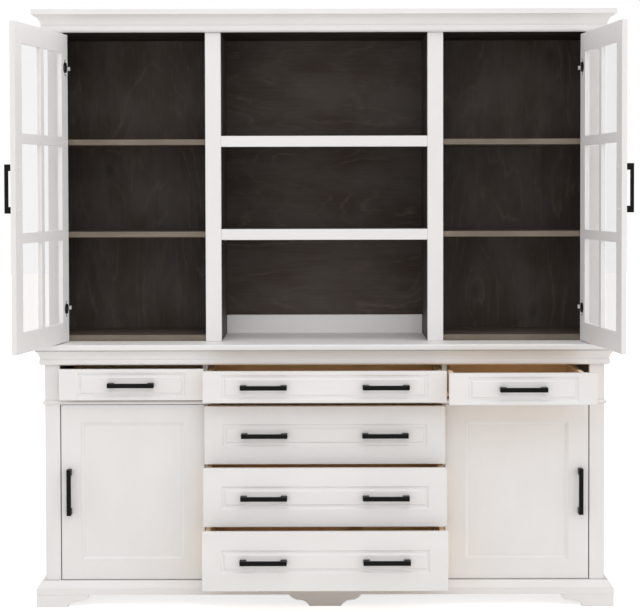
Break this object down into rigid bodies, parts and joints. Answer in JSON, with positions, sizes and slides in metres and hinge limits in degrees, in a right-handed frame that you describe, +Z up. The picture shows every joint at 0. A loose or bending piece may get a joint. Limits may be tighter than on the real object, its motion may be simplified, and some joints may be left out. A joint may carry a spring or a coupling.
{
  "type": "dresser with hutch",
  "caption": "Free-standing dresser: a base with drawers and panelled doors on bracket feet, topped by a hutch with glazed doors, open shelves and a cornice.",
  "frame": {"origin": "on the floor under the middle foot, in the plane of the base's corner-post fronts", "axes": "+X to the right seen from the front, +Y from front to back, +Z up"},
  "size_m": [1.9105, 0.7795, 1.931],
  "materials": {
    "white_paint": "satin white paint on solid wood with softened edges",
    "dark_stain": "dark brown-grey stain with the wood grain showing",
    "pine": "clear-lacquered pale softwood",
    "black_metal": "matt black powder coat",
    "glass": "clear float glass",
    "nickel": "nickel-plated steel"
  },
  "bodies": {
    "cabinet": {"base_sides": "white_paint", "base_posts": "white_paint", "base_floor": "white_paint", "base_partitions": "white_paint", "base_back": "white_paint", "drawer_rail": "white_paint", "bead_moulding": "white_paint", "worktop": "white_paint", "worktop_moulding": "white_paint", "plinth": "white_paint", "plinth_moulding": "white_paint", "corner_feet": "white_paint", "middle_foot": "white_paint", "hutch_sides": "white_paint", "hutch_face_frame": "white_paint", "hutch_partitions": "white_paint", "hutch_top": "white_paint", "cornice": "white_paint", "centre_rails": "white_paint", "back_rail": "white_paint", "hutch_shelves": "dark_stain", "centre_shelves": "dark_stain", "hutch_side_backs": "dark_stain", "hutch_centre_back": "dark_stain", "drawer_runners": "pine", "hinge_arms": "nickel"},
    "hutch_door_left": {"hutch_door_left_frame": "white_paint", "hutch_door_left_glass": "glass", "hutch_door_left_hinges": "nickel", "hutch_door_left_handle": "black_metal"},
    "hutch_door_right": {"hutch_door_right_frame": "white_paint", "hutch_door_right_glass": "glass", "hutch_door_right_hinges": "nickel", "hutch_door_right_handle": "black_metal"},
    "base_door_left": {"base_door_left_frame": "white_paint", "base_door_left_panel": "white_paint", "base_door_left_hinges": "nickel", "base_door_left_handle": "black_metal"},
    "base_door_right": {"base_door_right_frame": "white_paint", "base_door_right_panel": "white_paint", "base_door_right_hinges": "nickel", "base_door_right_handle": "black_metal"},
    "drawer_top_left": {"drawer_top_left_front": "white_paint", "drawer_top_left_box": "pine", "drawer_top_left_handles": "black_metal"},
    "drawer_top_middle": {"drawer_top_middle_front": "white_paint", "drawer_top_middle_box": "pine", "drawer_top_middle_handles": "black_metal"},
    "drawer_top_right": {"drawer_top_right_front": "white_paint", "drawer_top_right_box": "pine", "drawer_top_right_handles": "black_metal"},
    "drawer_large_upper": {"drawer_large_upper_front": "white_paint", "drawer_large_upper_box": "pine", "drawer_large_upper_handles": "black_metal"},
    "drawer_large_middle": {"drawer_large_middle_front": "white_paint", "drawer_large_middle_box": "pine", "drawer_large_middle_handles": "black_metal"},
    "drawer_large_lower": {"drawer_large_lower_front": "white_paint", "drawer_large_lower_box": "pine", "drawer_large_lower_handles": "black_metal"}
  },
  "joints": [
    {"name": "hutch_door_left_hinge", "type": "hinge", "parent": "cabinet", "child": "hutch_door_left", "pos_m": [-0.8525, 0.08, 1.3515], "axis": [0, 0, 1], "range_deg": [-9.4, 100.6]},
    {"name": "hutch_door_right_hinge", "type": "hinge", "parent": "cabinet", "child": "hutch_door_right", "pos_m": [0.8525, 0.08, 1.3515], "axis": [0, 0, -1], "range_deg": [-13.7, 96.3]},
    {"name": "base_door_left_hinge", "type": "hinge", "parent": "cabinet", "child": "base_door_left", "pos_m": [-0.3885, 0.002, 0.3675], "axis": [0, 0, 1], "range_deg": [0, 90]},
    {"name": "base_door_right_hinge", "type": "hinge", "parent": "cabinet", "child": "base_door_right", "pos_m": [0.3885, 0.002, 0.3675], "axis": [0, 0, -1], "range_deg": [0, 90]},
    {"name": "drawer_top_left_slide", "type": "slide", "parent": "cabinet", "child": "drawer_top_left", "axis": [0, -1, 0], "range_m": [-0.041, 0.259]},
    {"name": "drawer_top_middle_slide", "type": "slide", "parent": "cabinet", "child": "drawer_top_middle", "axis": [0, -1, 0], "range_m": [-0.108, 0.192]},
    {"name": "drawer_top_right_slide", "type": "slide", "parent": "cabinet", "child": "drawer_top_right", "axis": [0, -1, 0], "range_m": [-0.168, 0.132]},
    {"name": "drawer_large_upper_slide", "type": "slide", "parent": "cabinet", "child": "drawer_large_upper", "axis": [0, -1, 0], "range_m": [-0.04, 0.26]},
    {"name": "drawer_large_middle_slide", "type": "slide", "parent": "cabinet", "child": "drawer_large_middle", "axis": [0, -1, 0], "range_m": [-0.099, 0.201]},
    {"name": "drawer_large_lower_slide", "type": "slide", "parent": "cabinet", "child": "drawer_large_lower", "axis": [0, -1, 0], "range_m": [-0.16, 0.14]}
  ]
}
